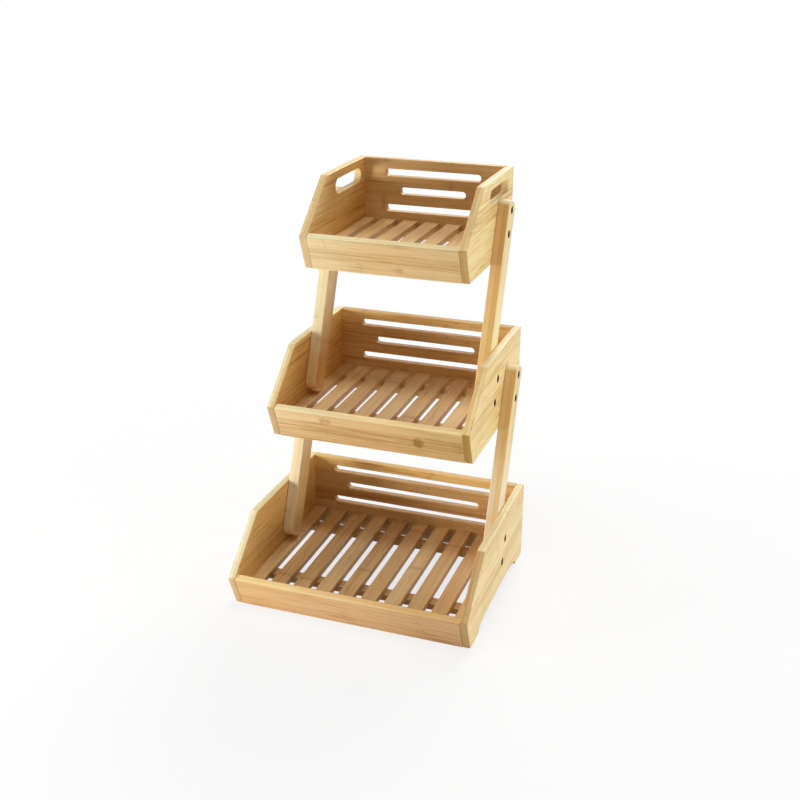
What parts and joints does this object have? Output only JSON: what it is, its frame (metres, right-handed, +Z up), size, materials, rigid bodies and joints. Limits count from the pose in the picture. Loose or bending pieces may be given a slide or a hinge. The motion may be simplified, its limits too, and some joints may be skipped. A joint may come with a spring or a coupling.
{
  "type": "tiered fruit stand",
  "caption": "Tiered bamboo stand: open crates that grow and step forward going down, on leaning legs, with slatted floors, slotted backs and hand slots, for showing loose goods.",
  "frame": {"origin": "on the surface it stands on, under the middle of its outline box", "axes": "+Z up, -Y the open front, +X to the right as seen from the front"},
  "size_m": [0.31, 0.3375, 0.51],
  "materials": {
    "bamboo_side": "laminated bamboo, clear satin lacquer",
    "bamboo_board": "laminated bamboo, clear satin lacquer",
    "bamboo_rail": "plain bamboo strip, unlacquered",
    "bamboo_slat": "bamboo strip, clear satin lacquer",
    "bamboo_leg": "laminated bamboo, two strips, clear satin lacquer",
    "dowel_wood": "turned hardwood",
    "screw_steel": "dark oxide",
    "pin_steel": "bright zinc"
  },
  "bodies": {
    "root": {"top_left_side": "bamboo_side", "top_right_side": "bamboo_side", "top_front_board": "bamboo_board", "top_back_board": "bamboo_board", "top_front_rail": "bamboo_rail", "top_back_rail": "bamboo_rail", "top_slat_1": "bamboo_slat", "top_slat_2": "bamboo_slat", "top_slat_3": "bamboo_slat", "top_slat_4": "bamboo_slat", "top_slat_5": "bamboo_slat", "top_slat_6": "bamboo_slat", "top_slat_7": "bamboo_slat", "top_dowels": "dowel_wood", "top_slat_pins": "pin_steel", "middle_left_side": "bamboo_side", "middle_right_side": "bamboo_side", "middle_front_board": "bamboo_board", "middle_back_board": "bamboo_board", "middle_front_rail": "bamboo_rail", "middle_back_rail": "bamboo_rail", "middle_slat_1": "bamboo_slat", "middle_slat_2": "bamboo_slat", "middle_slat_3": "bamboo_slat", "middle_slat_4": "bamboo_slat", "middle_slat_5": "bamboo_slat", "middle_slat_6": "bamboo_slat", "middle_slat_7": "bamboo_slat", "middle_slat_8": "bamboo_slat", "middle_slat_9": "bamboo_slat", "middle_dowels": "dowel_wood", "middle_slat_pins": "pin_steel", "bottom_left_side": "bamboo_side", "bottom_right_side": "bamboo_side", "bottom_front_board": "bamboo_board", "bottom_back_board": "bamboo_board", "bottom_front_rail": "bamboo_rail", "bottom_back_rail": "bamboo_rail", "bottom_slat_1": "bamboo_slat", "bottom_slat_2": "bamboo_slat", "bottom_slat_3": "bamboo_slat", "bottom_slat_4": "bamboo_slat", "bottom_slat_5": "bamboo_slat", "bottom_slat_6": "bamboo_slat", "bottom_slat_7": "bamboo_slat", "bottom_slat_8": "bamboo_slat", "bottom_slat_9": "bamboo_slat", "bottom_slat_10": "bamboo_slat", "bottom_dowels": "dowel_wood", "bottom_slat_pins": "pin_steel", "upper_left_leg": "bamboo_leg", "upper_left_leg_screws": "screw_steel", "upper_right_leg": "bamboo_leg", "upper_right_leg_screws": "screw_steel", "lower_left_leg": "bamboo_leg", "lower_left_leg_screws": "screw_steel", "lower_right_leg": "bamboo_leg", "lower_right_leg_screws": "screw_steel"}
  },
  "joints": []
}
